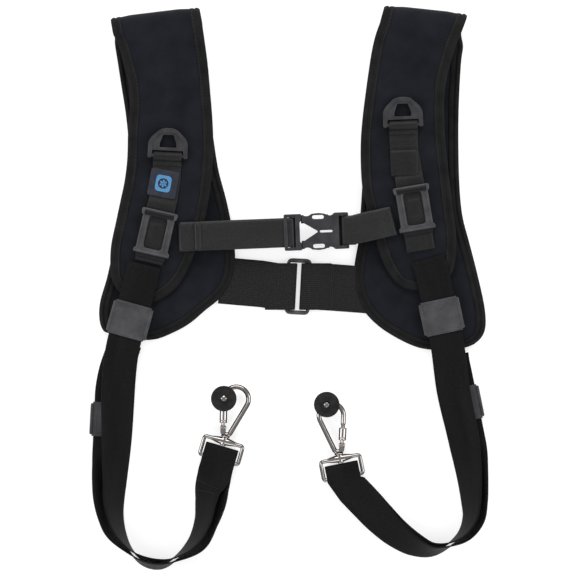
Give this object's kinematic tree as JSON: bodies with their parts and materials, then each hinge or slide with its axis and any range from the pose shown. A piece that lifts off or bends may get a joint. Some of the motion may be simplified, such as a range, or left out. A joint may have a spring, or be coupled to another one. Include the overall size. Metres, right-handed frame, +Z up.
{
  "type": "dual shoulder camera harness",
  "caption": "Padded two-shoulder carrying harness with chest buckle, back band and two strap loops ending in locking swivel carabiners with screw-in camera discs.",
  "frame": {"origin": "centre of the bounding box in plan, at the table surface the harness lies on", "axes": "+Y towards the shoulder folds, +X to the right as seen from above, +Z up from the table"},
  "size_m": [0.4082, 0.5777, 0.038],
  "materials": {
    "neoprene": "matte knitted jersey over foam",
    "binding_tape": "matte woven tape",
    "webbing": "smooth satin nylon webbing",
    "band_webbing": "ribbed coarse webbing",
    "label_patch": null,
    "moulded_plastic": "fine-grained dark grey acetal",
    "gunmetal": "polished dark nickel",
    "rubber": "matte moulded rubber"
  },
  "bodies": {
    "root": {"left_shoulder_pad": "neoprene", "left_pad_binding": "binding_tape", "left_d_ring_loop": "webbing", "left_pad_webbing": "webbing", "left_camera_strap": "webbing", "right_shoulder_pad": "neoprene", "right_pad_binding": "binding_tape", "right_d_ring_loop": "webbing", "right_pad_webbing": "webbing", "right_camera_strap": "webbing", "label_patch": "label_patch", "chest_left_webbing": "webbing", "chest_right_webbing": "webbing", "buckle_female": "moulded_plastic", "back_band_left": "band_webbing", "back_band_right": "band_webbing"},
    "left_d_ring": {"left_d_ring": "moulded_plastic"},
    "left_adjuster": {"left_adjuster": "moulded_plastic"},
    "left_front_stopper": {"left_front_stopper": "moulded_plastic"},
    "left_rear_stopper": {"left_rear_stopper": "moulded_plastic"},
    "left_ring": {"left_strap_ring": "gunmetal"},
    "left_carabiner": {"left_carabiner": "gunmetal", "left_swivel_pin": "gunmetal", "left_gate_pin": "gunmetal"},
    "left_gate": {"left_gate": "gunmetal"},
    "left_lock_sleeve": {"left_lock_sleeve": "gunmetal"},
    "left_bail": {"left_mount_bail": "gunmetal"},
    "left_screw": {"left_mount_screw": "gunmetal", "left_mount_washer": "rubber"},
    "right_d_ring": {"right_d_ring": "moulded_plastic"},
    "right_adjuster": {"right_adjuster": "moulded_plastic"},
    "right_front_stopper": {"right_front_stopper": "moulded_plastic"},
    "right_rear_stopper": {"right_rear_stopper": "moulded_plastic"},
    "right_ring": {"right_strap_ring": "gunmetal"},
    "right_carabiner": {"right_carabiner": "gunmetal", "right_swivel_pin": "gunmetal", "right_gate_pin": "gunmetal"},
    "right_gate": {"right_gate": "gunmetal"},
    "right_lock_sleeve": {"right_lock_sleeve": "gunmetal"},
    "right_bail": {"right_mount_bail": "gunmetal"},
    "right_screw": {"right_mount_screw": "gunmetal", "right_mount_washer": "rubber"},
    "buckle_male": {"buckle_male": "moulded_plastic", "chest_tail_webbing": "webbing"},
    "buckle_prong_upper": {"buckle_prong_upper": "moulded_plastic"},
    "buckle_prong_lower": {"buckle_prong_lower": "moulded_plastic"},
    "back_ring": {"back_ring": "moulded_plastic"}
  },
  "joints": [
    {"name": "left_d_ring_hinge", "type": "hinge", "parent": "root", "child": "left_d_ring", "pos_m": [-0.12295, 0.13558, 0.02946], "axis": [0.9986, -0.0521, -0.0052], "range_deg": [0, 120]},
    {"name": "left_adjuster_slide", "type": "slide", "parent": "root", "child": "left_adjuster", "axis": [0.2233, 0.9699, 0.097], "range_m": [-0.006, 0.006]},
    {"name": "left_front_stopper_slide", "type": "slide", "parent": "root", "child": "left_front_stopper", "axis": [0.2672, 0.9636, 0], "range_m": [-0.008, 0.008]},
    {"name": "left_rear_stopper_slide", "type": "slide", "parent": "root", "child": "left_rear_stopper", "axis": [0.0523, 0.9986, 0], "range_m": [-0.006, 0.006]},
    {"name": "left_ring_hinge", "type": "hinge", "parent": "root", "child": "left_ring", "pos_m": [-0.07145, -0.1741, 0.0085], "axis": [0.9598, -0.2807, 0], "range_deg": [0, 75]},
    {"name": "left_swivel", "type": "hinge", "parent": "left_ring", "child": "left_carabiner", "pos_m": [-0.06297, -0.14511, 0.0085], "axis": [0.2807, 0.9598, 0], "continuous": true},
    {"name": "left_gate_hinge", "type": "hinge", "parent": "left_carabiner", "child": "left_gate", "pos_m": [-0.06688, -0.14171, 0.0085], "axis": [0, 0, -1], "range_deg": [0, 24], "stiffness_Nm_per_rad": 0.08, "springref_deg": -11.46},
    {"name": "left_sleeve_slide", "type": "slide", "parent": "left_gate", "child": "left_lock_sleeve", "axis": [0.0288, 0.9996, 0], "range_m": [0, 0.005]},
    {"name": "left_bail_tilt", "type": "hinge", "parent": "left_carabiner", "child": "left_bail", "pos_m": [-0.066, -0.11154, 0.0085], "axis": [0.075, 0.9972, 0], "range_deg": [-14, 14]},
    {"name": "left_screw_turn", "type": "hinge", "parent": "left_bail", "child": "left_screw", "pos_m": [-0.066, -0.11154, 0.0085], "axis": [0, 0, 1], "continuous": true},
    {"name": "right_d_ring_hinge", "type": "hinge", "parent": "root", "child": "right_d_ring", "pos_m": [0.11655, 0.16708, 0.03261], "axis": [0.999, 0.0434, 0.0043], "range_deg": [0, 120]},
    {"name": "right_adjuster_slide", "type": "slide", "parent": "root", "child": "right_adjuster", "axis": [-0.1651, 0.9814, 0.0981], "range_m": [-0.006, 0.006]},
    {"name": "right_front_stopper_slide", "type": "slide", "parent": "root", "child": "right_front_stopper", "axis": [-0.2079, 0.9781, 0], "range_m": [-0.008, 0.008]},
    {"name": "right_rear_stopper_slide", "type": "slide", "parent": "root", "child": "right_rear_stopper", "axis": [-0.1994, 0.9799, 0], "range_m": [-0.006, 0.006]},
    {"name": "right_ring_hinge", "type": "hinge", "parent": "root", "child": "right_ring", "pos_m": [0.05655, -0.1922, 0.0085], "axis": [0.9803, 0.1977, 0], "range_deg": [0, 75]},
    {"name": "right_swivel", "type": "hinge", "parent": "right_ring", "child": "right_carabiner", "pos_m": [0.05058, -0.1626, 0.0085], "axis": [-0.1977, 0.9803, 0], "continuous": true},
    {"name": "right_gate_hinge", "type": "hinge", "parent": "right_carabiner", "child": "right_gate", "pos_m": [0.05476, -0.15954, 0.0085], "axis": [0, 0, 1], "range_deg": [0, 24], "stiffness_Nm_per_rad": 0.08, "springref_deg": -11.46},
    {"name": "right_sleeve_slide", "type": "slide", "parent": "right_gate", "child": "right_lock_sleeve", "axis": [0.0567, 0.9984, 0], "range_m": [0, 0.005]},
    {"name": "right_bail_tilt", "type": "hinge", "parent": "right_carabiner", "child": "right_bail", "pos_m": [0.03906, -0.11762, 0.0085], "axis": [-0.9245, -0.3811, 0], "range_deg": [-14, 14]},
    {"name": "right_screw_turn", "type": "hinge", "parent": "right_bail", "child": "right_screw", "pos_m": [0.03906, -0.11762, 0.0085], "axis": [0, 0, 1], "continuous": true},
    {"name": "buckle_release", "type": "slide", "parent": "root", "child": "buckle_male", "axis": [-0.9993, -0.0384, 0], "range_m": [0, 0.017]},
    {"name": "prong_upper_flex", "type": "hinge", "parent": "buckle_male", "child": "buckle_prong_upper", "pos_m": [0.01405, 0.07155, 0.019], "axis": [0, 0, -1], "range_deg": [0, 6], "stiffness_Nm_per_rad": 0.4},
    {"name": "prong_lower_flex", "type": "hinge", "parent": "buckle_male", "child": "buckle_prong_lower", "pos_m": [0.01507, 0.04517, 0.019], "axis": [0, 0, 1], "range_deg": [0, 6], "stiffness_Nm_per_rad": 0.4},
    {"name": "back_ring_tilt", "type": "hinge", "parent": "root", "child": "back_ring", "pos_m": [0.01005, 0.0028, 0.005], "axis": [0.0523, 0.9986, 0], "range_deg": [-3, 3]}
  ],
  "couplings": [
    {"joint": "prong_lower_flex", "follows": "prong_upper_flex", "ratio": 1}
  ]
}
